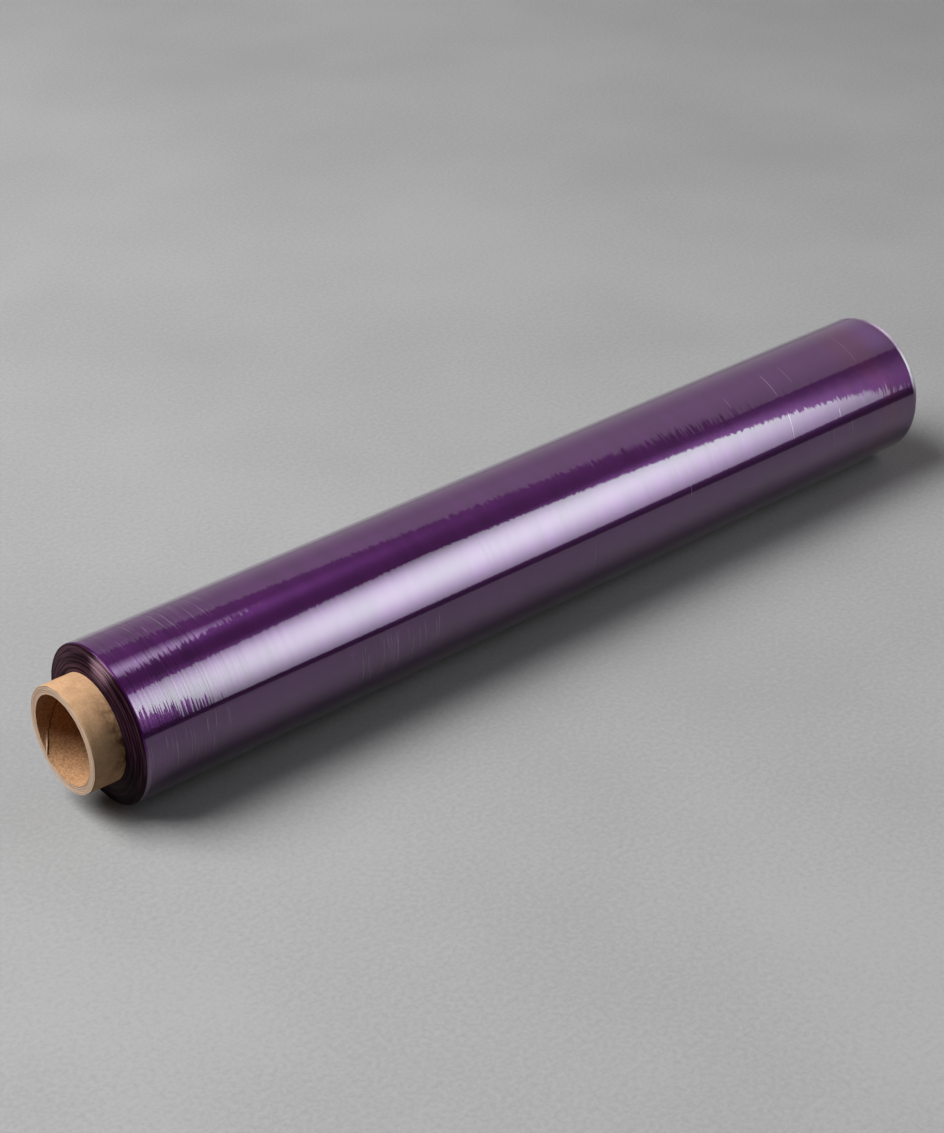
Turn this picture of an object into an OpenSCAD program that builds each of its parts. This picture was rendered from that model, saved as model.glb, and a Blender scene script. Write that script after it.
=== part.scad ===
// Roll of tinted cling film, wound on a spiral paper tube and lying on its side.
// The roll runs along X, Z is up, and it rests on z = 0 on the small flat spot under it.
// The near end, where more of the tube stands out, faces -X.

/* [Film] */
// Width of the film, which is the length of the roll from rim to rim
film_w = 300; // [150:1:450]
// Outer diameter of the wound film
film_d = 45.8; // [40:0.2:90]
// How far the innermost turns stand proud of the rim, at each end
end_crown = 1.64; // [0.4:0.02:2.6]
// Curve of the end faces: 1 is a cone, more is a dome with a steeper rim
crown_curve = 1.7; // [1:0.1:3]
// Radius of the outermost turns where they round over the rim
rim_r = 0.5; // [0.2:0.05:1.2]
// Width of the flat spot under the roll, where the soft film has settled
flat_w = 6; // [2:0.5:12]

/* [Bands of turns on the ends] */
// Bands of turns that show on each end face
end_bands = 9; // [4:1:14]
// Depth of the deepest groove between two bands
band_groove = 0.2; // [0.05:0.01:0.3]

/* [Gauge ridges round the film] */
// Height of the tallest ridge that uneven film raises on the roll
ridge_h = 0.07; // [0.02:0.01:0.15]
// Length of a ridge along the roll
ridge_w = 1.1; // [0.4:0.05:1.2]
// Distance from one ridge to the next, where they lie close together at the ends
ridge_pitch = 1.5; // [1.3:0.05:3]
// Close ridges behind the near rim
near_ridges = 14; // [2:1:20]
// Close ridges before the far rim
far_ridges = 6; // [2:1:20]
// Single ridges spread over the middle of the roll
middle_ridges = 6; // [1:1:12]

/* [Paper tube] */
// Bore of the tube
bore_d = 25.6; // [18:0.1:27]
// Wall of the tube, all its plies together
core_wall = 2.6; // [1.6:0.1:4]
// Length of tube that stands out past the near rim
core_near = 11; // [4:0.5:25]
// Length of tube that stands out past the far rim
core_far = 4; // [3:0.5:25]
// Chamfer that the saw left on the tube's edges
core_edge = 0.2; // [0.05:0.05:0.5]

/* [Seam of the innermost ply] */
// Length of tube in which the seam goes once round the bore
seam_pitch = 37; // [25:0.5:80]
// Gap between the strip's two edges, measured along the tube
seam_w = 0.9; // [0.4:0.05:2]
// Depth of the gap, about one ply
seam_depth = 0.45; // [0.2:0.05:0.8]
// Angle at which the seam meets the near mouth, from level at the back towards the top
seam_angle = -46; // [-180:1:180]
// Length of the torn flake where the seam meets the near mouth
tear_l = 1.4; // [0.5:0.1:3]
// Width of the torn flake round the mouth
tear_w = 3.2; // [1:0.1:6]

/* [Hidden] */

// Smoothness of the round surfaces
$fn = 96;
// Overlap that lets one cut pass cleanly through a face
through = 1;

film_r = film_d / 2;
bore_r = bore_d / 2;
core_r = bore_r + core_wall;
// Tube and roll together, from one end of the tube to the other
core_l = core_near + film_w + core_far;
// The near end of the tube and the near rim of the film, along X
mouth_x = -core_l / 2;
rim_x = mouth_x + core_near;
// Height of the roll's axis over the surface that the flat spot rests on
axis_z = sqrt(film_r * film_r - flat_w * flat_w / 4);
// Radial depth of film on the tube, and one band of it
film_depth = film_r - core_r;
band_w = (film_depth - rim_r) / end_bands;
// Steps in the rounded rim
rim_steps = 3;
// Slices of the seam in one turn round the bore
seam_slices = 24;

// Slope of the torn flake, from the mouth into the wall
tear_slope = 20;

// A value between low and high for item i, uneven from item to item and the same each time
function uneven(i, seed, low, high) = low + (high - low) * abs(sin(i * 137.5 + seed));

// How far the end face stands proud of the rim at radius r
function crown_at(r) = end_crown * (1 - pow((r - core_r) / film_depth, crown_curve));

// Radius at which band i starts, counted outwards from the tube
function band_r(i) = core_r + i * band_w;

// One end face from the tube out to the rim, as [radius, height over the rim] pairs:
// each band of turns starts in a groove and swells to its crest
function end_face(seed) = [
    for (i = [0 : end_bands - 1], crest = [0, 1])
        let (r = band_r(i) + crest * band_w * uneven(i, seed + 40, 0.35, 0.65),
             sunk = i == 0 || crest == 1 ? 0 : band_groove * uneven(i, seed, 0.3, 1))
        [r, crown_at(r) - sunk]
];

// The rounded rim, from the end face to the outer surface, as [radius, height] pairs
function rim_round() = [
    for (k = [0 : rim_steps])
        let (a = 90 - 90 * k / rim_steps,
             proud = crown_at(film_r - rim_r) * (1 - k / rim_steps))
        [film_r - rim_r + rim_r * cos(a), rim_r * (sin(a) - 1) + proud]
];

// One end of the roll's outline, from the tube over the rim
function end_outline(seed) = concat(end_face(seed), rim_round());

// Distance of close ridge i from the rim that it lies next to
function ridge_at(i) = rim_r + ridge_pitch * (i + 0.6);

// Every ridge along the roll, as [distance from the near rim, height] pairs
function ridges() = concat(
    [for (i = [0 : near_ridges - 1])
        [ridge_at(i), ridge_h * uneven(i, 10, 0.3, 1)]],
    [for (i = [0 : middle_ridges - 1])
        let (from = ridge_at(near_ridges),
             to = film_w - ridge_at(far_ridges))
        [from + (to - from) * (i + uneven(i, 25, 0.3, 0.7)) / middle_ridges,
         ridge_h * uneven(i, 60, 0.3, 0.7)]],
    [for (i = [far_ridges - 1 : -1 : 0])
        [film_w - ridge_at(i), ridge_h * uneven(i, 80, 0.3, 0.8)]]
);

// The outer surface from the near rim to the far one, as [radius, distance] pairs
function ridge_outline() = [
    for (ridge = ridges(), side = [-1, 0, 1])
        [film_r + (side == 0 ? ridge[1] : 0), ridge[0] + side * ridge_w / 2]
];

// Half section of the wound film, from the near face along the outside to the far face
function film_section() = concat(
    [for (p = end_outline(0)) [p[0], -p[1]]],
    ridge_outline(),
    [let (far = end_outline(33)) for (i = [len(far) - 1 : -1 : 0]) [far[i][0], film_w + far[i][1]]]
);

// Turns a shape that stands on Z so that it lies along the roll's axis, starting at x
module lay_along(x) {
    translate([x, 0, axis_z])
        rotate([0, 90, 0])
            children();
}

// Every turn of the film as one solid: domed ends in bands, ridges round it, a flat spot below
module film_roll() {
    color([0.30, 0.14, 0.36])
        difference() {
            lay_along(rim_x)
                rotate_extrude()
                    polygon(film_section());
            translate([mouth_x, -film_r, -film_d])
                cube([core_l, film_d, film_d]);
        }
}

// Wall of the tube with its sawn edges eased, around an exact bore
module tube_wall() {
    rotate_extrude()
        polygon([
            [bore_r, 0],
            [core_r - core_edge, 0],
            [core_r, core_edge],
            [core_r, core_l - core_edge],
            [core_r - core_edge, core_l],
            [bore_r, core_l]
        ]);
}

// The gap between the edges of the innermost ply, a helix that runs the whole bore
module ply_seam() {
    // The seam runs aslant, so round the bore its gap is wider than along the tube
    gap_round = seam_w * 2 * PI * bore_r / seam_pitch;
    seam_l = core_l + 2 * through;
    rotate([0, 0, 90 + seam_angle])
        translate([0, 0, -through])
            linear_extrude(
                height = seam_l,
                twist = -360 * seam_l / seam_pitch,
                slices = ceil(seam_slices * seam_l / seam_pitch),
                segments = 4
            )
                rotate([0, 0, -360 * through / seam_pitch])
                    translate([bore_r - through, -gap_round / 2])
                        square([through + seam_depth, gap_round]);
}

// The flake of paper torn out of the near mouth, where the seam ends
module mouth_tear() {
    rotate([0, 0, 90 + seam_angle])
        translate([bore_r - through, -tear_w / 2, 0])
            rotate([0, -tear_slope, 0])
                translate([0, 0, -2 * tear_l])
                    cube([through + 2 * seam_depth, tear_w, 3 * tear_l]);
}

// The spiral-wound paper tube, glued into one solid
module core_tube() {
    color([0.80, 0.62, 0.45])
        lay_along(mouth_x)
            difference() {
                tube_wall();
                ply_seam();
                mouth_tear();
            }
}

film_roll();
core_tube();
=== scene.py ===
"""A roll of tinted cling film on a spiral paper tube, laid on a studio floor."""

import math

import bpy
import numpy as np
from bpy.props import FloatProperty, FloatVectorProperty, IntProperty, PointerProperty
from mathutils import Matrix, Vector


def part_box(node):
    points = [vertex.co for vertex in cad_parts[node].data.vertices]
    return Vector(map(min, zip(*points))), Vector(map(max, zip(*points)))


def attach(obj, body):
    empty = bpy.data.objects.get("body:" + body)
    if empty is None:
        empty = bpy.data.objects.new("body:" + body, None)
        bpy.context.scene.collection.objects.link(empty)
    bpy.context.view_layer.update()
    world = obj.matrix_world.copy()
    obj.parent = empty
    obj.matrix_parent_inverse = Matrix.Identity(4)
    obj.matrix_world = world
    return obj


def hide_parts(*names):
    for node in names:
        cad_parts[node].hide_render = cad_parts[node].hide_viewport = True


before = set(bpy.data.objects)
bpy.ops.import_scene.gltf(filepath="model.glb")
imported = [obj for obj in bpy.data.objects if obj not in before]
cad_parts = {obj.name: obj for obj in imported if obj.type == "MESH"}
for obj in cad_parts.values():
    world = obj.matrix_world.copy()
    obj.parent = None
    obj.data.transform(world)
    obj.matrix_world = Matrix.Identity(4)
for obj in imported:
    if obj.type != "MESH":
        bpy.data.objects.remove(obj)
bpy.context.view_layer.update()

bl_info = {
    "name": "Cling Film Roll",
    "version": (1, 0, 0),
    "blender": (4, 5, 0),
    "location": "View3D > Sidebar > Film Roll",
    "description": "Dresses a wound roll of tinted film and its paper tube, and lights them",
    "category": "Object",
}

MM = 0.001
TURN = 2 * math.pi

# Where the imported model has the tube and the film
TUBE_LOW, TUBE_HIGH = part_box("core_tube")
FILM_LOW, FILM_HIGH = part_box("film_roll")
AXIS_Z = (TUBE_LOW.z + TUBE_HIGH.z) / 2
TUBE_RADIUS = (TUBE_HIGH.z - TUBE_LOW.z) / 2
# How far the modelled gauge ridges stand over the film, and its inner turns over each rim
CAD_RIDGE = 0.07 * MM
CAD_CROWN = 1.64 * MM
FILM_RADIUS = FILM_HIGH.z - AXIS_Z - CAD_RIDGE
NEAR_RIM_X = FILM_LOW.x + CAD_CROWN
FAR_RIM_X = FILM_HIGH.x - CAD_CROWN
BORE_RADIUS = 12.8 * MM


class FilmSettings(bpy.types.PropertyGroup):
    """Form and tint of the wound film."""

    columns: IntProperty(
        name="Columns", description="Faces round the roll", default=256, min=64)
    crown_curve: FloatProperty(
        name="Crown Curve", description="1 makes the ends cones, more makes them domes", default=1.7)
    rim_radius: FloatProperty(
        name="Rim Radius", description="Rounding of the outermost turns at each rim",
        default=0.55 * MM, unit="LENGTH", precision=5)
    flare: FloatProperty(
        name="Flare", description="How far the last turns stand up at the far rim",
        default=0.42 * MM, unit="LENGTH", precision=5)
    ridge_height: FloatProperty(
        name="Ridge Height", description="Height of the tallest gauge ridge next to the near rim",
        default=0.007 * MM, unit="LENGTH", precision=6)
    tint: FloatVectorProperty(
        name="Tint", description="Colour that the light takes on inside the film",
        default=(0.118, 0.0145, 0.150), subtype="COLOR", min=0, max=1)
    edge_dark: FloatVectorProperty(
        name="Edge Dark", description="Darkest bands of turns on the ends",
        default=(0.012, 0.003, 0.007), subtype="COLOR", min=0, max=1)
    edge_light: FloatVectorProperty(
        name="Edge Light", description="Palest bands of turns on the ends",
        default=(0.105, 0.045, 0.068), subtype="COLOR", min=0, max=1)
    # Pale strands on the ends; near the top of the rim they are a painted reflection
    fan_reflection_strands: FloatVectorProperty(
        name="Loose Turns", description="Strands of turns that stand out of the ends and catch the light",
        default=(0.34, 0.20, 0.25), subtype="COLOR", min=0, max=1)
    # This pale colour is also the painted highlight on the rims, and the colour of scratches and hair lines
    lip: FloatVectorProperty(
        name="Lip", description="Pale film where single turns stand out at a rim",
        default=(0.62, 0.52, 0.64), subtype="COLOR", min=0, max=1)


class TubeSettings(bpy.types.PropertyGroup):
    """Form and colour of the paper tube."""

    columns: IntProperty(
        name="Columns", description="Faces round the tube", default=144, min=48)
    seam_pitch: FloatProperty(
        name="Seam Pitch", description="Length of tube in which the seam goes once round",
        default=37 * MM, unit="LENGTH")
    seam_angle: FloatProperty(
        name="Seam Angle", description="Where the seam meets the near mouth, from level at the back",
        default=math.radians(-49), subtype="ANGLE")
    seam_width: FloatProperty(
        name="Seam Width", description="Gap between the ply's edges, measured round the bore",
        default=1.2 * MM, unit="LENGTH", precision=5)
    seam_depth: FloatProperty(
        name="Seam Depth", description="Depth of the gap, about one ply",
        default=0.42 * MM, unit="LENGTH", precision=5)
    paper: FloatVectorProperty(
        name="Paper", description="Unbleached kraft board",
        default=(0.62, 0.37, 0.205), subtype="COLOR", min=0, max=1)
    paper_dark: FloatVectorProperty(
        name="Paper Dark", description="Darker fibres and smudges",
        default=(0.33, 0.17, 0.075), subtype="COLOR", min=0, max=1)
    cut_paper: FloatVectorProperty(
        name="Cut Paper", description="The sawn end of the plies",
        default=(0.90, 0.64, 0.465), subtype="COLOR", min=0, max=1)


class StageSettings(bpy.types.PropertyGroup):
    """Camera, floor and lights."""

    camera_place: FloatVectorProperty(
        name="Camera Place", description="Where the camera stands",
        default=(-0.3912, -0.4362, 0.3726), subtype="XYZ", unit="LENGTH")
    camera_yaw: FloatProperty(
        name="Camera Yaw", description="Turn of the view from the roll's axis towards its far side",
        default=math.radians(49.449), subtype="ANGLE")
    camera_pitch: FloatProperty(
        name="Camera Pitch", description="How far the camera looks down",
        default=math.radians(31.5707), subtype="ANGLE")
    lens: FloatProperty(
        name="Lens", description="Focal length on a 36 mm long side",
        default=73.10, subtype="DISTANCE_CAMERA")
    floor_colour: FloatVectorProperty(
        name="Floor Colour", description="Pale grey of the floor",
        default=(0.42, 0.42, 0.42), subtype="COLOR", min=0, max=1)
    key_power: FloatProperty(
        name="Key Power", description="Overhead soft light", default=30.0, unit="POWER")
    front_power: FloatProperty(
        name="Front Power", description="Fill from the tall light in front", default=0.45, unit="POWER")
    bounce_power: FloatProperty(
        name="Bounce Power", description="What the floor throws back onto the tube",
        default=0.016, unit="POWER")
    front_glow: FloatProperty(
        name="Front Glow", description="Brightness of the tall light's middle in the film", default=7.5)
    streak_glow: FloatProperty(
        name="Streak Glow", description="Brightness of the overhead light's edge in the film", default=3.0)
    room_light: FloatProperty(
        name="Room Light", description="Brightness of the pale wall behind the roll", default=0.46)


# Shader helpers


def new_group(name, inputs, outputs):
    """An empty shader node group with named number sockets."""
    group = bpy.data.node_groups.new(name, "ShaderNodeTree")
    for label, default in inputs:
        socket = group.interface.new_socket(name=label, in_out="INPUT", socket_type="NodeSocketFloat")
        socket.default_value = default
    for label in outputs:
        group.interface.new_socket(name=label, in_out="OUTPUT", socket_type="NodeSocketFloat")
    return group, group.nodes.new("NodeGroupInput").outputs, group.nodes.new("NodeGroupOutput").inputs


def feed(tree, socket, value):
    """Links a socket to another, or sets it to a plain value."""
    if isinstance(value, bpy.types.NodeSocket):
        tree.links.new(value, socket)
    else:
        socket.default_value = value


def math_node(tree, operation, *values):
    """The output of a Math node on the given values."""
    node = tree.nodes.new("ShaderNodeMath")
    node.operation = operation
    for socket, value in zip(node.inputs, values):
        feed(tree, socket, value)
    return node.outputs[0]


def times(tree, first, *others):
    """The product of the values."""
    for value in others:
        first = math_node(tree, "MULTIPLY", first, value)
    return first


def less(tree, value, taken):
    """The value less what is taken from it."""
    return math_node(tree, "SUBTRACT", value, taken)


def highest(tree, first, *others):
    """The highest of the values."""
    for value in others:
        first = math_node(tree, "MAXIMUM", first, value)
    return first


def scaled(tree, value, factor, added):
    """The value times a factor, and something added."""
    return math_node(tree, "MULTIPLY_ADD", value, factor, added)


def rise_between(tree, value, low, high):
    """0 below low, 1 above high, and a soft rise between them."""
    node = tree.nodes.new("ShaderNodeMapRange")
    node.interpolation_type = "SMOOTHSTEP"
    for name, given in (("Value", value), ("From Min", low), ("From Max", high)):
        feed(tree, node.inputs[name], given)
    return node.outputs["Result"]


def fall_between(tree, value, low, high):
    """1 below low, 0 above high, and a soft fall between them."""
    return less(tree, 1.0, rise_between(tree, value, low, high))


def window(tree, value, low, high, soft):
    """1 between low and high, fading to 0 within the soft distance inside either."""
    rise = rise_between(tree, value, low, low + soft)
    return times(tree, rise, fall_between(tree, value, high - soft, high))


def sector(tree, angle, middle, full, none):
    """1 within so many degrees of the middle, 0 beyond the wider limit."""
    return fall_between(tree, math_node(tree, "ABSOLUTE", less(tree, angle, middle)), full, none)


def blend_colours(tree, share, first, second, mode="MIX"):
    """A colour Mix node from first, at share 0, to second, at share 1."""
    node = tree.nodes.new("ShaderNodeMix")
    node.data_type = "RGBA"
    node.blend_type = mode
    for name, given in (("Factor", share), ("A", first), ("B", second)):
        feed(tree, node.inputs[name], given)
    return node.outputs["Result"]


def noise(tree, vector, scale, detail=2.0, roughness=0.5, distortion=0.0):
    """A Noise Texture's value from 0 to 1."""
    node = tree.nodes.new("ShaderNodeTexNoise")
    feed(tree, node.inputs["Vector"], vector)
    node.inputs["Scale"].default_value = scale
    node.inputs["Detail"].default_value = detail
    node.inputs["Roughness"].default_value = roughness
    node.inputs["Distortion"].default_value = distortion
    return node.outputs["Fac"]


def combine(tree, x, y, z):
    """A vector from three values."""
    node = tree.nodes.new("ShaderNodeCombineXYZ")
    for socket, value in zip(node.inputs, (x, y, z)):
        feed(tree, socket, value)
    return node.outputs[0]


def split_place(tree, space="Object"):
    """The X, Y and Z of a point on the object, or of a direction in the world."""
    split = tree.nodes.new("ShaderNodeSeparateXYZ")
    tree.links.new(tree.nodes.new("ShaderNodeTexCoord").outputs[space], split.inputs[0])
    return [split.outputs[axis] for axis in "XYZ"]


def opaque(colour):
    """The colour with full alpha."""
    return (*colour, 1.0)


def roll_coordinates():
    """Group: where a point is on the roll, in millimetres along it and out from its axis."""
    group, _, out = new_group("Roll Coordinates", [], ["Along", "Radius", "Across", "Up"])
    x, y, z = split_place(group)
    along, across = times(group, x, 1 / MM), times(group, y, 1 / MM)
    up = times(group, less(group, z, AXIS_Z), 1 / MM)
    squares = math_node(group, "ADD", times(group, across, across), times(group, up, up))
    radius = math_node(group, "SQRT", squares)
    for name, value in (("Along", along), ("Radius", radius), ("Across", across), ("Up", up)):
        group.links.new(value, out[name])
    return group


def turn_lines():
    """Group: fine lines that follow the turns, from 0 to 1, broken up slowly round the roll."""
    group, given, out = new_group(
        "Turn Lines",
        [("Distance", 0.0), ("Across", 0.0), ("Up", 0.0), ("Lines per mm", 2.0), ("Break", 0.03)],
        ["Lines"])
    vector = combine(
        group,
        times(group, given["Distance"], given["Lines per mm"]),
        times(group, given["Across"], given["Break"]),
        times(group, given["Up"], given["Break"]))
    group.links.new(noise(group, vector, 1.0, detail=3.0, roughness=0.6), out["Lines"])
    return group


# How far a scratch leans along the roll in each degree round it, in millimetres
SCRATCH_LEAN = 0.04


def scratch():
    """Group: one fine scratch that runs round the roll, from 0 to 1."""
    group, given, out = new_group(
        "Scratch",
        [("From Rim", 0.0), ("Angle", 0.0), ("Place", 0.0), ("Start", 0.0), ("End", 0.0), ("Width", 0.15)],
        ["Mark"])
    turned = less(group, given["Angle"], given["Start"])
    left = less(group, given["End"], given["Angle"])
    leaned = less(group, given["Place"], times(group, turned, SCRATCH_LEAN))
    off = math_node(group, "ABSOLUTE", less(group, given["From Rim"], leaned))
    mark = times(group, fall_between(group, off, 0.0, given["Width"]),
                 rise_between(group, turned, 0.0, 4.0), rise_between(group, left, 0.0, 3.0))
    group.links.new(mark, out["Mark"])
    return group


def place_group(tree, group, **values):
    """A node that holds the group in this tree, with the given inputs, named with _ for a space."""
    node = tree.nodes.new("ShaderNodeGroup")
    node.node_tree = group
    for name, value in values.items():
        feed(tree, node.inputs[name.replace("_", " ")], value)
    return node.outputs


class Finish:
    """A new material with its Principled shader and the roll's coordinates."""

    def __init__(self, name, groups):
        self.material = bpy.data.materials.new(name)
        self.material.use_nodes = True
        self.tree = self.material.node_tree
        self.shader = self.tree.nodes["Principled BSDF"]
        self.groups = groups
        where = place_group(self.tree, groups["coordinates"])
        self.along, self.radius = where["Along"], where["Radius"]
        self.across, self.up = where["Across"], where["Up"]

    def set(self, **sockets):
        """Sets or feeds the shader's sockets, named with _ for a space."""
        for name, value in sockets.items():
            feed(self.tree, self.shader.inputs[name.replace("_", " ")], value)

    def place(self):
        """Where the point is, in millimetres."""
        return combine(self.tree, self.along, self.across, self.up)

    def angle(self):
        """Degrees round the roll, from level at the back up over the top."""
        degrees = math_node(self.tree, "DEGREES", math_node(self.tree, "ARCTAN2", self.up, self.across))
        return math_node(self.tree, "FLOORED_MODULO", degrees, 360.0)

    def lines(self, distance, per_mm, breaks):
        """Turn Lines at this density along a distance in millimetres."""
        node = place_group(self.tree, self.groups["lines"], Distance=distance, Across=self.across,
                           Up=self.up, Lines_per_mm=per_mm, Break=breaks)
        return node["Lines"]

    def bump(self, height, depth_mm):
        """A Bump node that raises the height by a depth in millimetres."""
        node = self.tree.nodes.new("ShaderNodeBump")
        node.inputs["Strength"].default_value = 1.0
        node.inputs["Distance"].default_value = depth_mm * MM
        feed(self.tree, node.inputs["Height"], height)
        self.tree.links.new(node.outputs["Normal"], self.shader.inputs["Normal"])

    def brush_round(self, amount):
        """Stretches the highlights across the turns, as the fine lines round the roll do."""
        tangent = self.tree.nodes.new("ShaderNodeTangent")
        tangent.direction_type = "RADIAL"
        tangent.axis = "X"
        self.set(Tangent=tangent.outputs["Tangent"], Anisotropic=amount, Anisotropic_Rotation=0.25)


# Scratches on the film: millimetres from the near rim, start and end round the roll in degrees, strength
SCRATCHES = (
    (16.5, 84, 95, 0.35), (19.5, 165, 177, 0.70), (22.3, 163, 177, 0.60), (71.5, 165, 173, 0.30),
    (78.0, 166, 198, 0.28), (81.5, 168, 190, 0.45), (88.0, 174, 200, 0.38), (97.5, 166, 186, 0.45),
    (157.0, 168, 198, 0.35), (197.0, 158, 168, 0.70), (225.5, 104, 117, 0.40), (244.5, 97, 123, 0.75),
    (243.5, 136, 160, 0.85), (253.0, 95, 118, 0.35), (264.5, 149, 159, 0.90), (281.5, 90, 122, 0.30),
)


def scratched(finish, from_rim, angle):
    """All the scratches together, from 0 to 1."""
    total = 0.0
    for place, start, end, strength in SCRATCHES:
        node = place_group(finish.tree, finish.groups["scratch"], From_Rim=from_rim, Angle=angle,
                           Place=place, Start=start, End=end)
        total = scaled(finish.tree, node["Mark"], strength, total)
    return total


def ripple_gloss(tree, shader):
    """Ripples in the clear surface round the roll: threads behind the near rim, broad waves all along.

    The coordinates are worked out here again, from plain nodes."""
    along, across, up = (times(tree, value, 1 / MM) for value in split_place(tree))
    slow = [times(tree, value, 0.022) for value in (across, up)]
    threads = noise(tree, combine(tree, along, *slow), 1.0, detail=1.0, roughness=0.4)
    near = fall_between(tree, less(tree, along, NEAR_RIM_X / MM), 16.0, 34.0)
    close = times(tree, threads, scaled(tree, near, 0.20, 0.08))
    loose = [times(tree, value, 0.12) for value in (across, up)]
    waves = noise(tree, combine(tree, along, *loose), 0.42, detail=2.0, roughness=0.6)
    bump = tree.nodes.new("ShaderNodeBump")
    bump.inputs["Distance"].default_value = 0.10 * MM
    feed(tree, bump.inputs["Height"], scaled(tree, waves, 0.44, close))
    tree.links.new(bump.outputs["Normal"], shader.inputs["Coat Normal"])


def scuffed(finish, from_rim, to_far, angle):
    """Groups of faint hair lines, where the film was rubbed, from 0 to about 0.4."""
    tree = finish.tree
    hairs = rise_between(tree, finish.lines(finish.along, 1.5, 0.05), 0.57, 0.66)
    low_places = highest(tree, window(tree, from_rim, 64.0, 102.0, 8.0),
                         window(tree, from_rim, -2.0, 30.0, 5.0))
    low = times(tree, window(tree, angle, 163.0, 206.0, 9.0), low_places)
    high = times(tree, window(tree, angle, 70.0, 106.0, 10.0), window(tree, from_rim, -2.0, 42.0, 9.0))
    last = times(tree, window(tree, angle, 161.0, 190.0, 6.0), window(tree, to_far, 6.0, 60.0, 9.0))
    total = scaled(tree, low, 0.24, times(tree, high, 0.20))
    return times(tree, hairs, scaled(tree, last, 0.14, total))


def pale_rims_and_painted_light(tree, from_rim, to_far, angle):
    """Where the rims show pale: thin single turns of film, brightened as painted light where light shows
    through them at the far rim, most over the upper front, and a painted highlight low on the near one.
    """
    faint = 0.28
    far = fall_between(tree, to_far, 0.7, 1.4)
    front = fall_between(tree, angle, 154.0, 184.0)
    upper = times(tree, front, scaled(tree, rise_between(tree, angle, 74.0, 122.0), 0.56, faint))
    back = times(tree, rise_between(tree, angle, 300.0, 330.0), faint)
    near = times(tree, fall_between(tree, from_rim, 0.6, 1.7), sector(tree, angle, 214.0, 22.0, 48.0), 0.36)
    return highest(tree, times(tree, far, highest(tree, upper, back)), near)


# Colours that the film takes on in patches by the far rim
FAR_COOL = (0.170, 0.050, 0.270)
FAR_RED = (0.155, 0.018, 0.100)


def film_skin(settings, groups):
    """The outer turns: clear gloss over a deep tint, with fine lines and a few scratches round it."""
    finish = Finish("film_skin", groups)
    tree, along, angle = finish.tree, finish.along, finish.angle()
    from_rim = less(tree, along, NEAR_RIM_X / MM)
    to_far = less(tree, FAR_RIM_X / MM, along)
    # The lines are strongest in the first stretch behind the near rim and the last before the far one
    near = fall_between(tree, from_rim, 12.0, 45.0)
    far = fall_between(tree, to_far, 8.0, 45.0)
    strength = scaled(tree, highest(tree, near, times(tree, far, 0.55)), 0.85, 0.15)
    fine = finish.lines(along, 2.4, 0.02)
    coarse = finish.lines(along, 0.25, 0.03)
    finish.bump(scaled(tree, coarse, 0.5, times(tree, fine, strength)), 0.05)
    ripple_gloss(tree, finish.shader)
    # Tint: denser in slow bands, in lines near the rims, bluer and redder in patches by the far rim
    tint = Vector(settings.tint)
    edges = finish.lines(along, 1.2, 0.02)
    dense = times(tree, rise_between(tree, edges, 0.50, 0.60), strength)
    bare = times(tree, fall_between(tree, edges, 0.32, 0.42), strength)
    cool = times(tree, window(tree, to_far, -1.0, 16.0, 7.0), window(tree, angle, 60.0, 124.0, 10.0), 0.6)
    patches = rise_between(tree, noise(tree, finish.place(), 0.06, detail=0.0), 0.38, 0.66)
    red = times(tree, patches, window(tree, to_far, 2.0, 34.0, 12.0), 0.48)
    # Pale rims: thin single turns, with a painted glow of light through them at the far rim and a painted
    # highlight low on the near rim
    pale_rim_light = pale_rims_and_painted_light(tree, from_rim, to_far, angle)
    scratches = times(tree, scratched(finish, from_rim, angle), 0.85)
    pale = highest(tree, pale_rim_light, scratches, scuffed(finish, from_rim, to_far, angle))
    colour = blend_colours(tree, rise_between(tree, coarse, 0.35, 0.65), opaque(tint), opaque(tint * 0.85))
    for share, over in ((dense, tint * 0.70), (bare, tint * 1.12), (cool, FAR_COOL), (red, FAR_RED),
                        (pale, settings.lip)):
        colour = blend_colours(tree, share, colour, opaque(over))
    roughness = math_node(tree, "ADD", times(tree, fine, 0.06), scaled(tree, pale_rim_light, 0.35, 0.19))
    finish.set(Base_Color=colour, Roughness=roughness, Metallic=scaled(tree, pale, -0.45, 0.55), IOR=1.5)
    finish.brush_round(0.85)
    # The gloss is weaker on the pale rims with their painted highlight, right at the near rim, and in lines
    # behind it
    threads = rise_between(tree, finish.lines(along, 2.0, 0.02), 0.46, 0.62)
    depth = scaled(tree, rise_between(tree, angle, 108.0, 128.0), -0.20, 0.30)
    dull = times(tree, threads, times(tree, near, depth))
    rim = fall_between(tree, from_rim, 0.35, 0.9)
    weak = highest(tree, dull, rim, times(tree, pale_rim_light, 0.85))
    finish.set(Coat_Weight=less(tree, 1.0, weak), Coat_Roughness=0.02, Coat_IOR=1.68)
    return finish.material


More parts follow.
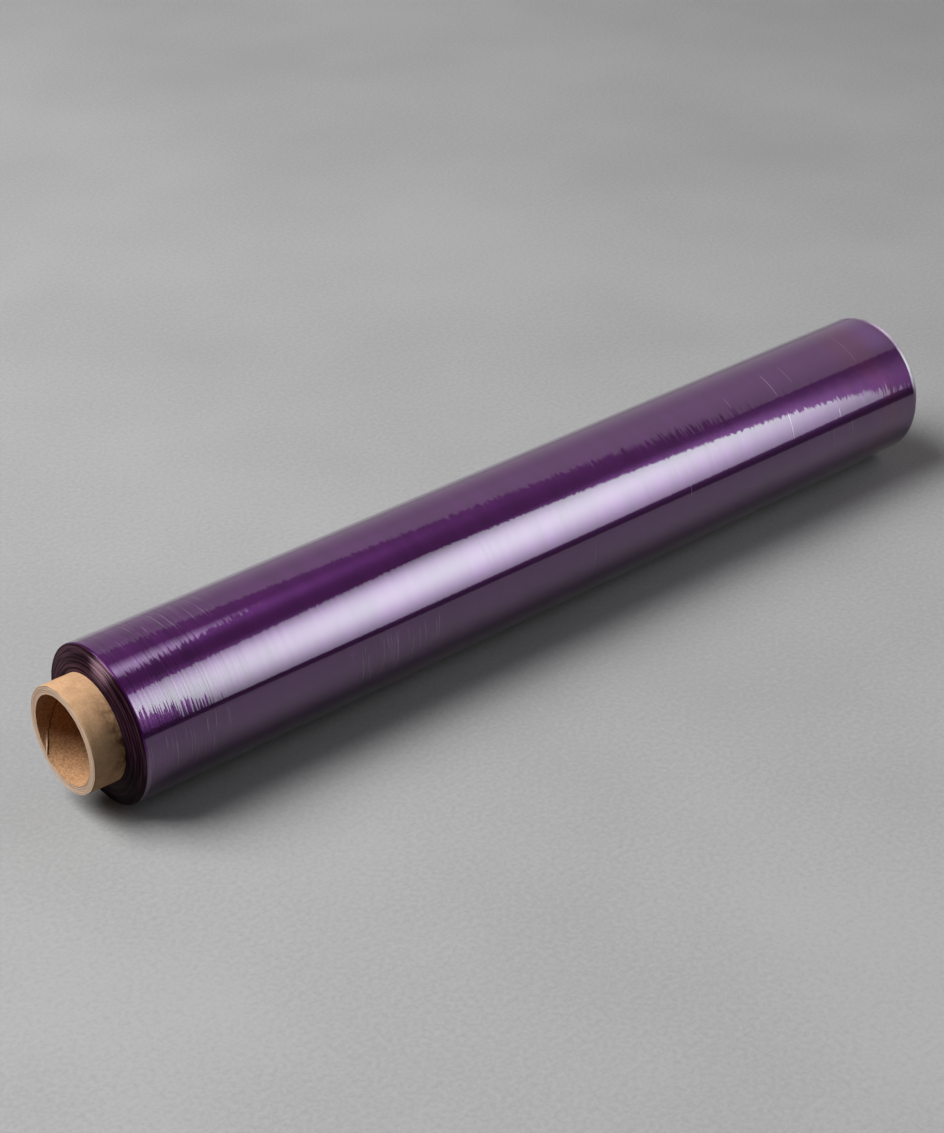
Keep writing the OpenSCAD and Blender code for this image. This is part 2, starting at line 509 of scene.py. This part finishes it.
def film_ends(settings, groups):
    """The edges of the turns on each end: close rings, dark between a few paler strands, the upper ones a
    painted reflection.
    """
    finish = Finish("film_ends", groups)
    tree, radius = finish.tree, finish.radius
    fine = finish.lines(radius, 3.6, 0.02)
    bands = finish.lines(radius, 1.5, 0.055)
    share = times(tree, rise_between(tree, bands, 0.42, 0.64),
                  scaled(tree, rise_between(tree, fine, 0.35, 0.65), 0.6, 0.4))
    colour = blend_colours(tree, share, opaque(settings.edge_dark), opaque(settings.edge_light))
    # Pale strands: near the top of the rim a painted reflection of the fan of light that the rings throw
    # back, and fainter ones low at the front
    strands = less(tree, finish.lines(radius, 2.3, 0.02), 0.5)
    strand_angle = scaled(tree, strands, 34.0, finish.angle())
    outward = rise_between(tree, radius, TUBE_RADIUS / MM + 0.8, TUBE_RADIUS / MM + 5.0)
    high = times(tree, sector(tree, strand_angle, 103.0, 4.0, 14.0), outward)
    low = times(tree, sector(tree, strand_angle, 236.0, 8.0, 26.0), 0.30)
    thick = rise_between(tree, finish.lines(radius, 3.1, 0.03), 0.38, 0.62)
    loose = times(tree, highest(tree, high, low), scaled(tree, thick, 0.75, 0.25))
    colour = blend_colours(tree, loose, colour, opaque(settings.fan_reflection_strands))
    finish.bump(math_node(tree, "ADD", fine, bands), 0.10)
    finish.set(Base_Color=colour, Roughness=0.62, Metallic=0.2, IOR=1.5, Specular_IOR_Level=0.05)
    finish.brush_round(0.95)
    return finish.material


# The bore's colours, as a power of the outer board's: browner, and darker as painted shade for the dim bore;
# and the painted shade next to the film
BORE_SHADE_POWER = 1.13
FILM_SIDE_SHADE = (0.125, 0.047, 0.012)


def kraft(name, settings, groups, contrast, inner=False):
    """Kraft board: a mottled ground and short fibres, darker in the bore and in blots outside next to the
    film, both painted shade.
    """
    finish = Finish(name, groups)
    tree, place = finish.tree, finish.place()
    mottle = noise(tree, place, 0.35, detail=3.0, roughness=0.6)
    fibres = noise(tree, place, 2.0, detail=2.0, roughness=0.6, distortion=0.3)
    # In the bore the colours darken: painted shade
    depth = BORE_SHADE_POWER if inner else 1.0
    paper, dark = ([c ** depth for c in colour] for colour in (settings.paper, settings.paper_dark))
    ground = blend_colours(tree, rise_between(tree, mottle, 0.35, 0.65),
                           opaque(paper), opaque([min(1.0, c * 1.16) for c in paper]))
    darker = times(tree, rise_between(tree, fibres, 0.40, 0.70), contrast)
    ground = blend_colours(tree, darker, ground, opaque(dark))
    if not inner:
        # Painted shade on the board next to the film, in blots, on the front above its lowest part, where the
        # film's rim shades it
        shade_blots = rise_between(tree, noise(tree, place, 0.32, detail=3.0, roughness=0.6), 0.38, 0.66)
        close = rise_between(tree, less(tree, finish.along, TUBE_LOW.x / MM), 3.0, 10.0)
        front = times(tree, rise_between(tree, times(tree, finish.across, -1.0), 3.0, 12.0),
                      rise_between(tree, finish.up, -10.0, -1.0))
        ground = blend_colours(tree, times(tree, close, front, shade_blots), ground, opaque(FILM_SIDE_SHADE))
    finish.set(Base_Color=ground, Roughness=0.86, IOR=1.45, Specular_IOR_Level=0.3)
    finish.bump(math_node(tree, "ADD", fibres, times(tree, mottle, 0.5)), 0.06)
    return finish.material


# The outermost ply shows its pale broken edge
BROKEN_EDGE = (0.84, 0.66, 0.49)


def cut_plies(settings, groups):
    """The sawn end of the tube: greyer paper with the plies' edges as thin rings."""
    finish = Finish("cut_plies", groups)
    tree, radius = finish.tree, finish.radius
    rings = finish.lines(radius, 2.6, 0.05)
    fuzz = noise(tree, finish.place(), 2.2, detail=3.0, roughness=0.7)
    dark = opaque([c * 0.55 for c in settings.cut_paper])
    share = times(tree, rise_between(tree, rings, 0.42, 0.66), 0.65)
    ground = blend_colours(tree, share, opaque(settings.cut_paper), dark)
    tufts = times(tree, rise_between(tree, fuzz, 0.5, 0.8), 0.4)
    ground = blend_colours(tree, tufts, ground, dark)
    edge = rise_between(tree, radius, TUBE_RADIUS / MM - 0.36, TUBE_RADIUS / MM - 0.2)
    colour = blend_colours(tree, edge, ground, opaque(BROKEN_EDGE))
    finish.set(Base_Color=colour, Roughness=0.92, IOR=1.45, Specular_IOR_Level=0.2)
    finish.bump(math_node(tree, "ADD", fuzz, rings), 0.08)
    return finish.material


# Mesh helpers


def uneven(index, seed, low, high):
    """A value between low and high for an index, the same each time."""
    return low + (high - low) * abs(math.sin(math.radians(index * 137.5 + seed)))


def ring_points(x, radius, angles):
    """Points round the roll's axis at x; none lies below the floor."""
    radius = np.broadcast_to(radius, angles.shape)
    points = np.empty((len(angles), 3))
    points[:, 0] = x
    points[:, 1] = radius * np.cos(angles)
    points[:, 2] = np.maximum(AXIS_Z + radius * np.sin(angles), 0.0)
    return points


def skin_rings(name, rings, marks, shifts=None):
    """A closed mesh through rings of points, with the faces from ring i to i + 1 in material marks[i].

    A mark is one number for the ring or one for each of its faces. A shift joins column k of
    one ring to column k + shift of the next."""
    count = len(rings[0])
    columns = np.arange(count)
    total = len(rings)
    faces, slots = [], []
    for i in range(total):
        after = (i + 1) % total
        shift = shifts.get(i, 0) if shifts else 0
        a = i * count + columns
        b = i * count + (columns + 1) % count
        c = after * count + (columns + 1 + shift) % count
        d = after * count + (columns + shift) % count
        faces.append(np.stack([a, b, c, d], axis=1))
        slots.append(np.broadcast_to(marks[i], count))
    mesh = bpy.data.meshes.new(name)
    mesh.from_pydata(np.concatenate(rings).tolist(), [], np.concatenate(faces).tolist())
    mesh.polygons.foreach_set("material_index", np.concatenate(slots).astype(np.int32))
    mesh.validate()
    mesh.update()
    return mesh


def place_piece(name, mesh, materials, node):
    """Puts the mesh in the scene as a piece that rides with the roll and stands for a CAD node."""
    piece = bpy.data.objects.new(name, mesh)
    bpy.context.scene.collection.objects.link(piece)
    for material in materials:
        mesh.materials.append(material)
    mesh.shade_smooth()
    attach(piece, "root")
    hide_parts(node)
    return piece


# The wound film


# Places of its two materials
SKIN, ENDS = range(2)


def crown_height(settings, radius):
    """How far an end stands proud of its rim at this radius."""
    share = (radius - TUBE_RADIUS) / (FILM_RADIUS - TUBE_RADIUS)
    return CAD_CROWN * (1 - share ** settings.crown_curve)


def end_profile(settings, steps, bands, seed):
    """One end from the tube out to the rim, as (radius, height) pairs, in bands of turns."""
    outer = FILM_RADIUS - settings.rim_radius
    pairs = []
    for step in range(steps):
        share = step / steps
        radius = TUBE_RADIUS + (outer - TUBE_RADIUS) * share
        band = int(share * bands)
        within = share * bands - band
        swell = math.sin(math.pi * within) ** 0.6 * uneven(band, seed, 0.02, 0.10) * MM
        fade = min(1.0, step / 3)
        ripple = 0.012 * MM * math.sin(step * 2.4 + seed)
        sunk = 0.1 * MM * fade
        pairs.append((radius, crown_height(settings, radius) - sunk + swell * fade + ripple * fade))
    return pairs


def rim_profile(settings, small, steps=10):
    """The outermost turns, rounded from an end over to the roll's outside."""
    start = crown_height(settings, FILM_RADIUS - small)
    pairs = []
    for step in range(steps + 1):
        angle = math.pi / 2 * (1 - step / steps)
        pairs.append((FILM_RADIUS - small + small * math.cos(angle),
                      small * (math.sin(angle) - 1) + start * (1 - step / steps)))
    return pairs


def loose_arc(angles):
    """Where round the far rim the last turns stand up: 1 over the upper front, 0 on the rest."""
    degrees = np.degrees(angles) % 360
    rise = np.clip((degrees - 78) / 38, 0, 1)
    fall = np.clip((176 - degrees) / 24, 0, 1)
    return np.sin(np.minimum(rise, fall) * math.pi / 2)


def gauge_ridge(settings, distance, to_far):
    """Height of the ridges that uneven film raises, by the distance from the near rim."""
    near = math.exp(-distance / (14 * MM))
    far = math.exp(-to_far / (8 * MM))
    wave = 0.0
    for k, pitch in enumerate((1.45, 2.1, 3.7)):
        wave += math.sin(TURN * distance / (pitch * MM) + 2.1 * k) / (k + 2)
    slow = 0.0
    for k, pitch in enumerate((9.0, 15.5, 31.0)):
        slow += math.sin(TURN * distance / (pitch * MM) + 1.3 * k) * pitch / 31.0
    return settings.ridge_height * (wave * (near + 0.6 * far) + 0.25 * slow)


def outside_places(start, length):
    """Distances from the near rim of the rings on the outside, close together near the rims."""
    near = np.arange(start / MM + 0.2, 24.9, 0.25)
    middle = np.arange(25, length / MM - 15, 2.5)
    far = np.concatenate([np.arange(length / MM - 15, length / MM - 2, 0.5),
                          np.arange(length / MM - 2, length / MM - 0.4, 0.12)])
    return np.concatenate([near, middle, far]) * MM


def film_mesh(settings):
    """The whole film as one closed mesh, and the material of each ring of faces."""
    angles = np.arange(settings.columns) * TURN / settings.columns - math.pi / 2
    length = FAR_RIM_X - NEAR_RIM_X
    rings, marks = [], []

    def add(x, radius, mark):
        rings.append(ring_points(x, radius, angles))
        marks.append(mark)

    for radius, height in end_profile(settings, 72, 9, 20):
        add(NEAR_RIM_X - height, radius, ENDS)
    for index, (radius, height) in enumerate(rim_profile(settings, settings.rim_radius)):
        add(NEAR_RIM_X - height, radius, ENDS if index < 5 else SKIN)
    rise = 2 * settings.rim_radius
    loose = loose_arc(angles)
    for distance in outside_places(settings.rim_radius, length):
        to_far = length - distance
        ease = min(1.0, distance / rise - 0.5, to_far / rise)
        lift = gauge_ridge(settings, distance, to_far) * ease
        drift = 0.006 * MM * ease * np.sin(2 * angles + distance / (11 * MM))
        climb = max(0.0, 1 - to_far / (1.2 * MM))
        add(NEAR_RIM_X + distance, FILM_RADIUS + lift + drift + settings.flare * loose * climb ** 1.2, SKIN)
    far_rim = rim_profile(settings, 0.4 * MM)[::-1]
    for index, (radius, height) in enumerate(far_rim):
        share = max(0.0, 1 - index / (len(far_rim) - 1))
        flared = radius + settings.flare * loose * share ** 0.3
        add(FAR_RIM_X + height, flared, SKIN if share > 0.35 else ENDS)
    for radius, height in end_profile(settings, 44, 8, 71)[::-1]:
        add(FAR_RIM_X + height, radius, ENDS)
    return skin_rings("wound_film", rings, marks)


# The paper tube


# Places of its three materials
OUTSIDE, CUT, BORE = range(3)


def tube_angles(settings):
    """Columns round the tube, with more at the two edges of the seam's gap and where the paper is torn."""
    half = settings.seam_width / BORE_RADIUS / 2
    lip = 0.08 * MM / BORE_RADIUS
    step = TURN / settings.columns
    torn = np.arange(-2.4, -0.7, 0.2) * MM / BORE_RADIUS
    lifted = np.arange(0.9, 2.2, 0.3) * MM / BORE_RADIUS
    even = np.arange(settings.columns) * step
    even = even[(even > lifted[-1] + step / 3) & (even < TURN + torn[0] - step / 3)]
    seam = np.array([-half - lip, -half, -half / 2, 0.0, half / 2, half, half + lip])
    return settings.seam_angle + np.concatenate([torn, seam, lifted, even])


def from_seam(settings, angles):
    """Arc length from the seam's middle, for columns that follow the seam."""
    turned = (angles - settings.seam_angle + math.pi) % TURN - math.pi
    return turned * BORE_RADIUS


def gap_mask(settings, angles):
    """1 for the columns in the seam's gap, 0 for the rest."""
    return (np.abs(from_seam(settings, angles)) <= settings.seam_width / 2 * 1.0001).astype(float)


def mouth_tear(settings, distance, angles):
    """Depth of the wedge that is torn out below the seam at the near mouth."""
    arc = from_seam(settings, angles) / MM
    reach = 1.15 - distance / MM
    if reach <= 0:
        return np.zeros_like(arc)
    ragged = 0.10 * np.sin(arc * 9.1 + 1.0) + 0.07 * np.sin(arc * 23.0)
    torn = (arc < 0.55) & (arc > -1.95 * (reach / 1.15) ** 0.8 + ragged)
    return np.where(torn, 0.55 * MM, 0.0)


def lifted_flake(settings, distance, angles):
    """How far the ply's edge above the seam curls into the bore, near the mouth."""
    arc = from_seam(settings, angles) / MM
    across = np.where(arc > 0.55, np.clip(1 - (arc - 0.6) / 1.0, 0, 1), 0.0)
    along = np.clip(math.sin(math.pi * min(max(distance / MM - 0.05, 0) / 2.1, 1.0)), 0, 1)
    return 0.38 * MM * across ** 1.5 * along


def bore_places(length):
    """Distances from the near mouth of the rings in the bore, close together at both mouths."""
    near = np.concatenate([np.arange(0, 2.0, 0.2), np.arange(2.0, 30, 0.31)])
    middle = np.arange(30, length / MM - 10, 1.23)
    far = np.arange(length / MM - 10, length / MM - 0.2, 0.31)
    return np.append(np.concatenate([near, middle, far]) * MM, length)


def tube_mesh(settings):
    """The tube as one closed mesh: outside, sawn ends and a bore whose columns follow the seam."""
    base = tube_angles(settings)
    length = TUBE_HIGH.x - TUBE_LOW.x
    gap = gap_mask(settings, base)
    edge = 0.16 * MM
    wall = TUBE_RADIUS - BORE_RADIUS
    plies = 5
    rings, marks, shifts = [], [], {}

    def add(distance, radius, mark, turned=0.0):
        rings.append(ring_points(TUBE_LOW.x + distance, radius, base + turned))
        marks.append(mark)

    def ragged(seed):
        return 0.05 * MM * (np.sin(base * 17 + seed) + 0.6 * np.sin(base * 41 + 2 * seed))

    # The near end, from the bore's lip out over the plies to the outside
    steps = 4 * plies
    tear = mouth_tear(settings, 0.0, base)
    for step in range(1, steps):
        radius = BORE_RADIUS + wall * step / steps
        groove = 0.10 * MM if step % 4 == 0 else 0.0
        sunk = np.where(radius < BORE_RADIUS + tear, 0.35 * MM, 0.0)
        add(groove + 0.04 * MM + ragged(step) * 0.5 + sunk, radius, CUT)
    add(0.05 * MM + ragged(3) * 0.3, TUBE_RADIUS - 0.10 * MM, OUTSIDE)
    for distance in (edge, 1 * MM, 3 * MM, 6 * MM, 10 * MM, 14 * MM, 18 * MM):
        add(distance, TUBE_RADIUS, OUTSIDE)
    # Under the film the columns jump to the turn that they have at the far end
    turned_far = length / settings.seam_pitch * TURN
    order = round((turned_far % TURN) / TURN * len(base))
    shifts[len(rings) - 1] = -order % len(base)
    for distance in (18 * MM, 10 * MM, 6 * MM, 3 * MM, 1 * MM, edge):
        add(length - distance, TUBE_RADIUS, OUTSIDE, turned_far)
    add(length - 0.05 * MM, TUBE_RADIUS - 0.10 * MM, CUT, turned_far)
    for step in range(steps - 1, 0, -1):
        radius = BORE_RADIUS + wall * (step / steps)
        groove = 0.10 * MM if step % 4 == 0 else 0.0
        add(length - groove - 0.04 * MM + ragged(step) * 0.4, radius, CUT, turned_far)
    # The bore, from the far mouth back to the near one
    arc = from_seam(settings, base)
    flake = (arc > 0.5 * MM) & (arc < 1.3 * MM)
    nicks = 0.09 * MM * np.clip(np.sin(base * 7 + 1) * np.sin(base * 31) + 0.1, 0, 1)
    for distance in bore_places(length)[::-1]:
        turned = distance / settings.seam_pitch * TURN
        radius = BORE_RADIUS + settings.seam_depth * gap
        mark = BORE
        if distance < 2.4 * MM:
            radius = np.maximum(radius, BORE_RADIUS + mouth_tear(settings, distance, base))
            radius = radius - lifted_flake(settings, distance, base)
            radius = radius + nicks * max(0.0, 1 - distance / (0.7 * MM))
            mark = np.where(flake, CUT, BORE) if distance > 0.1 * MM else BORE
        add(distance, radius, mark, turned)
    return skin_rings("paper_tube", rings, marks, shifts)


# Operators


class WindFilm(bpy.types.Operator):
    """Winds the film: one glossy solid with ridges round it and banded ends."""

    bl_idname = "film_roll.wind_film"
    bl_label = "Wind Film"

    def execute(self, context):
        settings = context.scene.film_roll_film
        groups = shared_groups()
        materials = [film_skin(settings, groups), film_ends(settings, groups)]
        place_piece("wound_film", film_mesh(settings), materials, "film_roll")
        return {"FINISHED"}


class RollTube(bpy.types.Operator):
    """Rolls the paper tube: plies at its sawn ends and a spiral seam in its bore."""

    bl_idname = "film_roll.roll_tube"
    bl_label = "Roll Tube"

    def execute(self, context):
        settings = context.scene.film_roll_tube
        groups = shared_groups()
        materials = [
            kraft("kraft_outside", settings, groups, contrast=0.26),
            cut_plies(settings, groups),
            kraft("kraft_bore", settings, groups, contrast=0.75, inner=True),
        ]
        tube = place_piece("paper_tube", tube_mesh(settings), materials, "core_tube")
        lit_from_below().objects.link(tube)
        return {"FINISHED"}


def shared_groups():
    """The shader groups that several finishes use, made once."""
    found = bpy.data.node_groups
    return {
        "coordinates": found.get("Roll Coordinates") or roll_coordinates(),
        "lines": found.get("Turn Lines") or turn_lines(),
        "scratch": found.get("Scratch") or scratch(),
    }


def lit_from_below():
    """The collection of what the bounce light reaches and what can shade it."""
    name = "Lit From Below"
    return bpy.data.collections.get(name) or bpy.data.collections.new(name)


def matt_material(name, colour=(0, 0, 0), roughness=0.5):
    """A material without gloss, and its shader's inputs."""
    material = bpy.data.materials.new(name)
    material.use_nodes = True
    sockets = material.node_tree.nodes["Principled BSDF"].inputs
    sockets["Base Color"].default_value = opaque(colour)
    sockets["Roughness"].default_value = roughness
    sockets["Specular IOR Level"].default_value = 0.0
    return material, sockets


def flat_panel(name, corners, material):
    """A stage panel through four corners."""
    mesh = bpy.data.meshes.new(name)
    mesh.from_pydata([tuple(c) for c in corners], [], [(0, 1, 2, 3)])
    mesh.materials.append(material)
    panel = bpy.data.objects.new(name, mesh)
    bpy.context.scene.collection.objects.link(panel)
    return panel


def only_in_gloss(panel):
    """Leaves the panel in mirror images alone, so it lights nothing and hides nothing."""
    panel.visible_camera = False
    panel.visible_diffuse = False
    panel.visible_transmission = False
    panel.visible_volume_scatter = False
    panel.visible_shadow = False


def area_light(name, centre, aim, size, power, along=None):
    """A rectangular area light at centre that faces aim."""
    data = bpy.data.lights.new(name, "AREA")
    data.shape = "RECTANGLE"
    data.size, data.size_y = size
    data.energy = power
    light = bpy.data.objects.new(name, data)
    light.location = centre
    back = (Vector(centre) - Vector(aim)).normalized()
    side = Vector(along).normalized() if along else Vector((0, 0, 1)).cross(back).normalized()
    up = back.cross(side).normalized()
    light.rotation_mode = "QUATERNION"
    light.rotation_quaternion = Matrix((side, up, back)).transposed().to_quaternion()
    bpy.context.scene.collection.objects.link(light)
    return light


# The front light stands at 45 degrees to the roll, so this share of a length on it runs along X
DIAGONAL = 0.7071


class SetStage(bpy.types.Operator):
    """Sets the camera, the pale floor and the soft lights."""

    bl_idname = "film_roll.set_stage"
    bl_label = "Set Stage"

    def execute(self, context):
        settings = context.scene.film_roll_stage
        self.camera(context, settings)
        self.floor(settings)
        self.lights(settings)
        self.room(context, settings)
        context.scene.view_settings.view_transform = "Standard"
        context.scene.view_settings.look = "None"
        return {"FINISHED"}

    def camera(self, context, settings):
        """The camera at the picture's place, looking the picture's way."""
        data = bpy.data.cameras.new("camera")
        data.lens = settings.lens
        data.sensor_width = 36
        data.clip_start = 0.01
        camera = bpy.data.objects.new("camera", data)
        camera.location = settings.camera_place
        camera.rotation_euler = (math.pi / 2 - settings.camera_pitch, 0, settings.camera_yaw - math.pi / 2)
        context.scene.collection.objects.link(camera)
        context.scene.camera = camera

    def floor(self, settings):
        """A wide matt floor with a faint, even grain."""
        material, sockets = matt_material("pale_floor", roughness=0.85)
        tree = material.node_tree
        place = tree.nodes.new("ShaderNodeTexCoord").outputs["Object"]
        cloud = noise(tree, place, 7.0, detail=3.0, roughness=0.55)
        grain = noise(tree, place, 700.0, detail=3.0, roughness=0.7)
        share = math_node(tree, "ADD", times(tree, cloud, 0.45), times(tree, grain, 0.55))
        light, dark = (opaque([min(1.0, c * level) for c in settings.floor_colour]) for level in (1.09, 0.91))
        colour = blend_colours(tree, rise_between(tree, share, 0.35, 0.65), light, dark)
        feed(tree, sockets["Base Color"], colour)
        reach = 3.0
        corners = [(-reach, -reach, 0), (reach, -reach, 0), (reach, reach, 0), (-reach, reach, 0)]
        # The floor itself sends no light back up; a small light does that for the tube
        flat_panel("floor", corners, material).visible_diffuse = False

    def lights(self, settings):
        """The overhead soft light, a weak fill, and what the film mirrors of the lights."""
        area_light("key", (-0.78, 0.55, 1.25), (0, 0, 0), (1.04, 1.04), settings.key_power)
        right, left = Vector((0.3275, -0.204, 0)), Vector((0.0835, -0.4480, 0))
        low, high = 0.044, 0.602
        middle = (right + left) / 2 + Vector((0, 0, (low + high) / 2))
        face = Vector((DIAGONAL, -DIAGONAL, 0))
        fill = area_light("fill", middle, middle - face, ((right - left).length, high - low),
                          settings.front_power, along=(left - right))
        fill.visible_glossy = False
        mouth = TUBE_LOW.x + 7 * MM
        bounce = area_light("tube_bounce", (mouth, -0.09, -0.07), (mouth, 0, AXIS_Z), (0.08, 0.08),
                            settings.bounce_power)
        bounce.visible_glossy = False
        bounce.light_linking.receiver_collection = lit_from_below()
        bounce.light_linking.blocker_collection = lit_from_below()
        up = Vector((0, 0, 1))
        glow = self.front_glow(settings.front_glow, (right + left) / 2)
        only_in_gloss(flat_panel("front_face", [
            right + up * low, left + up * low, left + up * high, right + up * high], glow))
        corner = Vector((0.430, 0.243, 1.0))
        first, second = Vector((-0.357, -0.934, 0)) * 0.6, Vector((-0.88, 0.475, 0)) * 1.2
        streak = self.glow_material("overhead_glow", (0.95, 0.88, 1.08))
        fall = self.distance_from(streak.node_tree, (0.275, 0.06, 1.0), 0.16)
        self.set_glow(streak.node_tree, fall, settings.streak_glow)
        only_in_gloss(flat_panel("overhead_face", [
            corner, corner + first, corner + first + second, corner + second], streak))
        black, _ = matt_material("dark_foot", (0.04, 0.04, 0.04), roughness=1.0)
        base, run, tall = Vector((0.22525, -0.22525, 0)), Vector((-DIAGONAL, -DIAGONAL, 0)), up * 0.0425
        only_in_gloss(flat_panel("front_foot", [
            base - run, base + run, base + run + tall, base - run + tall], black))

    def glow_material(self, name, colour):
        """Black, with an emission of this colour whose strength is set by set_glow."""
        material, sockets = matt_material(name)
        sockets["Emission Color"].default_value = opaque(colour)
        return material

    def set_glow(self, tree, distance, strength):
        """Emission that falls off as a bell curve with the distance, in reaches."""
        fall = math_node(tree, "EXPONENT", times(tree, times(tree, distance, distance), -1.0))
        feed(tree, tree.nodes["Principled BSDF"].inputs["Emission Strength"], times(tree, fall, strength))
        return fall

    def distance_from(self, tree, centre, reach):
        """How far a point is from the centre, in reaches."""
        apart = tree.nodes.new("ShaderNodeVectorMath")
        apart.operation = "DISTANCE"
        tree.links.new(tree.nodes.new("ShaderNodeTexCoord").outputs["Object"], apart.inputs[0])
        apart.inputs[1].default_value = centre
        return math_node(tree, "DIVIDE", apart.outputs["Value"], reach)

    def front_glow(self, strength, foot):
        """The tall light's face: brightest a little below its middle, and leaning left above it."""
        material = self.glow_material("front_glow", (1.0, 1.0, 1.0))
        tree = material.node_tree
        # Height of the brightest place, the glow's reach up, down and across, and its lean
        peak, upward, downward, sideways, lean = 0.27, 0.285, 0.186, 0.40, 0.25
        x, _, z = split_place(tree)
        rise = less(tree, z, peak)
        above, below = highest(tree, rise, 0.0), math_node(tree, "MINIMUM", rise, 0.0)
        tall = math_node(tree, "ADD", math_node(tree, "DIVIDE", above, upward),
                         math_node(tree, "DIVIDE", below, downward))
        # The face's width is its share along X times root 2
        along = times(tree, less(tree, foot.x + 0.012, x), 2 * DIAGONAL)
        wide = math_node(tree, "DIVIDE", less(tree, along, times(tree, above, lean)), sideways)
        squares = math_node(tree, "ADD", times(tree, tall, tall), times(tree, wide, wide))
        fall = self.set_glow(tree, math_node(tree, "SQRT", squares), strength)
        feed(tree, tree.nodes["Principled BSDF"].inputs["Emission Color"],
             blend_colours(tree, fall, (0.94, 0.97, 1.06, 1), (0.70, 0.96, 0.72, 1)))
        return material

    def room(self, context, settings):
        """The world: a pale wall behind the roll that ends at its top edge, and a dim room."""
        world = bpy.data.worlds.new("room")
        world.use_nodes = True
        context.scene.world = world
        tree = world.node_tree
        x, y, z = split_place(tree, "Generated")
        # The wall's top edge and its side edge, both a little soft
        faces, side, slope, soft = math.radians(15), math.radians(16.5), 1.25, 0.012
        ahead = math_node(tree, "ADD", times(tree, x, math.cos(faces)), times(tree, y, math.sin(faces)))
        over = less(tree, z, times(tree, ahead, slope))
        past = math_node(tree, "ADD", times(tree, x, -math.sin(side)), times(tree, y, -math.cos(side)))
        share = highest(tree, *(rise_between(tree, value, -soft, soft) for value in (over, past)))
        # The wall is brighter high up, and nothing shines from below the floor
        rise = scaled(tree, less(tree, z, 0.6), 2.2, 1.0)
        level = math_node(tree, "MINIMUM", highest(tree, rise, 0.85), 1.6)
        level = times(tree, level, rise_between(tree, z, -0.03, 0.0))
        wall = blend_colours(tree, 1.0, opaque(settings.room_light * c for c in (1.0, 0.91, 0.98)),
                             combine(tree, level, level, level), mode="MULTIPLY")
        # The rest of the room is dim, and dimmer still towards the floor
        gloom = times(tree, rise_between(tree, z, 0.05, 0.6), settings.room_light * 0.115)
        background = tree.nodes["Background"].inputs
        feed(tree, background["Color"], blend_colours(tree, share, wall, combine(tree, gloom, gloom, gloom)))
        background["Strength"].default_value = 1.0


class FilmRollPanel(bpy.types.Panel):
    """Lists the steps that make the roll and its stage."""

    bl_idname = "VIEW3D_PT_film_roll"
    bl_label = "Film Roll"
    bl_space_type = "VIEW_3D"
    bl_region_type = "UI"
    bl_category = "Film Roll"

    def draw(self, context):
        for step in STEPS:
            self.layout.operator(step.bl_idname)
        for group in ("film_roll_film", "film_roll_tube", "film_roll_stage"):
            box = self.layout.box()
            settings = getattr(context.scene, group)
            for name in settings.bl_rna.properties.keys():
                if name not in {"rna_type", "name"}:
                    box.prop(settings, name)


STEPS = (SetStage, WindFilm, RollTube)
GROUPS = {"film_roll_film": FilmSettings, "film_roll_tube": TubeSettings, "film_roll_stage": StageSettings}


def register():
    """Registers the settings, the steps and the panel."""
    for name, group in GROUPS.items():
        bpy.utils.register_class(group)
        setattr(bpy.types.Scene, name, PointerProperty(type=group))
    for step in (*STEPS, FilmRollPanel):
        bpy.utils.register_class(step)


def unregister():
    """Takes away what register added."""
    for step in (FilmRollPanel, *reversed(STEPS)):
        bpy.utils.unregister_class(step)
    for name, group in GROUPS.items():
        delattr(bpy.types.Scene, name)
        bpy.utils.unregister_class(group)


def main():
    """Makes the stage and the roll."""
    register()
    bpy.ops.film_roll.set_stage()
    bpy.ops.film_roll.wind_film()
    bpy.ops.film_roll.roll_tube()


if __name__ == "__main__":
    main()
